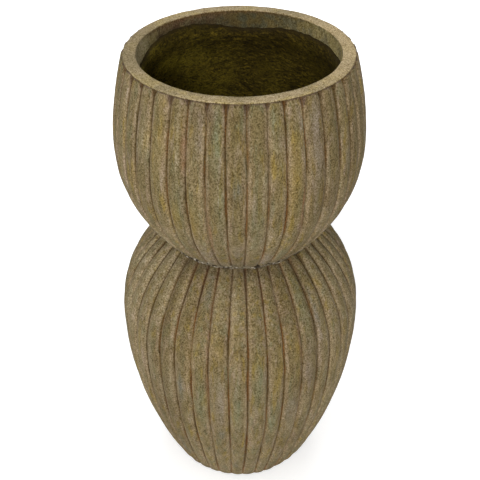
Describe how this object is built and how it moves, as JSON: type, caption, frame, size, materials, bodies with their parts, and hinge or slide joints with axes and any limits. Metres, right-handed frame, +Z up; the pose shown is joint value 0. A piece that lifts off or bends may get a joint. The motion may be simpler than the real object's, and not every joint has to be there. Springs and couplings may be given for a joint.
{
  "type": "urn vase",
  "caption": "Tall ribbed floor urn of cast stone mix: a wide-mouthed bowl on a tapering urn, joined at a pinched waist, fibre-lined, with a plugged drain.",
  "frame": {"origin": "on the floor, at the middle of the foot ring", "axes": "+Z up along the urn's axis, front of the picture towards -Y"},
  "size_m": [0.3578, 0.3579, 0.7],
  "materials": {
    "ribbed_stone": "matte",
    "fibre_lining": "matte",
    "mortar": "matte",
    "cast_slab": "matte",
    "plug_rubber": "matte"
  },
  "bodies": {
    "urn": {"lower_urn_shell": "ribbed_stone", "upper_bowl_shell": "ribbed_stone", "urn_fibre_lining": "fibre_lining", "bowl_fibre_lining": "fibre_lining", "waist_lap_strap": "fibre_lining", "waist_mortar_bed": "mortar", "base_slab": "cast_slab"},
    "plug": {"drain_plug": "plug_rubber"}
  },
  "joints": [
    {"name": "plug_pull", "type": "slide", "parent": "urn", "child": "plug", "axis": [0, 0, 1], "range_m": [0, 0.05]}
  ]
}
